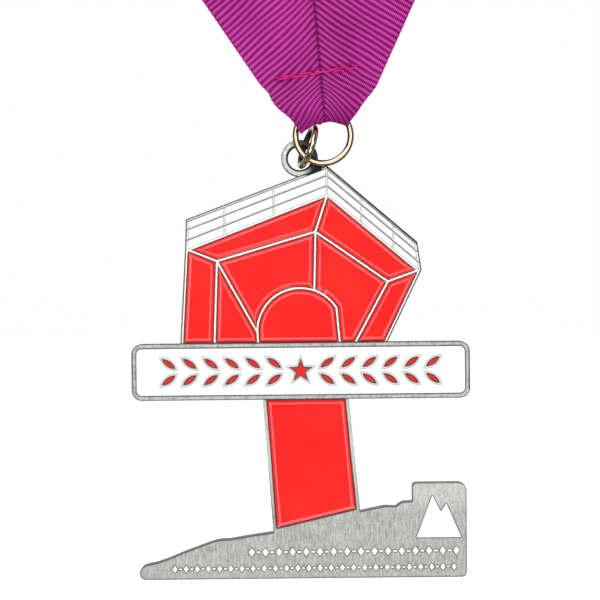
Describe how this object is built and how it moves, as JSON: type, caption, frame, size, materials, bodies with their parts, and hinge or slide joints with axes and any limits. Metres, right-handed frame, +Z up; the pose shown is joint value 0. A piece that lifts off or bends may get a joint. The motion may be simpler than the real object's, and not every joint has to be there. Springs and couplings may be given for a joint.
{
  "type": "sports finisher medal",
  "caption": "Die-cast lookout-tower medal with soft enamel cells and a garland banner, hung by a cast loop and jump rings from a V-sewn grosgrain neck ribbon.",
  "frame": {"origin": "middle of the ribbon's inner face at the nape, where the wearer's neck carries it", "axes": "+Z up as worn, the medal's face to -Y, its flat back to +Y, +X to the viewer's right when facing the medal"},
  "size_m": [0.1902, 0.1549, 0.4143],
  "materials": {
    "ribbon": "ribbed grosgrain",
    "thread": "twisted sewing thread",
    "ring_wire": "polished, pale gold nickel plate",
    "cast_metal": "antique silver plate, brushed and speckled",
    "red_enamel": "soft enamel, glossy",
    "white_enamel": "soft enamel, satin"
  },
  "bodies": {
    "ribbon": {"neck_ribbon": "ribbon", "bar_stitch": "thread"},
    "large_ring": {"large_ring": "ring_wire"},
    "link_ring": {"link_ring": "ring_wire"},
    "medal": {"medal_body": "cast_metal", "enamel_roof_left": "red_enamel", "enamel_roof_right": "red_enamel", "enamel_strip_left": "red_enamel", "enamel_gusset_left": "red_enamel", "enamel_wall_left": "red_enamel", "enamel_wall_right": "red_enamel", "enamel_strip_right": "red_enamel", "enamel_arch": "red_enamel", "enamel_column": "red_enamel", "banner_garland": "red_enamel", "railing_left": "white_enamel", "railing_right": "white_enamel", "banner_field": "white_enamel", "ground_marks": "white_enamel", "ground_emblem": "white_enamel"}
  },
  "joints": [
    {"name": "ring_swing", "type": "hinge", "parent": "ribbon", "child": "large_ring", "pos_m": [0.02267, -0.14181, -0.29379], "axis": [1, 0, 0], "range_deg": [-12, 12]},
    {"name": "link_slide", "type": "hinge", "parent": "large_ring", "child": "link_ring", "pos_m": [0.02267, -0.14181, -0.29689], "axis": [0, -1, 0], "range_deg": [0, 30]},
    {"name": "medal_swing", "type": "hinge", "parent": "link_ring", "child": "medal", "pos_m": [0.01692, -0.13936, -0.30214], "axis": [0, -1, 0], "range_deg": [-25, 25]}
  ]
}
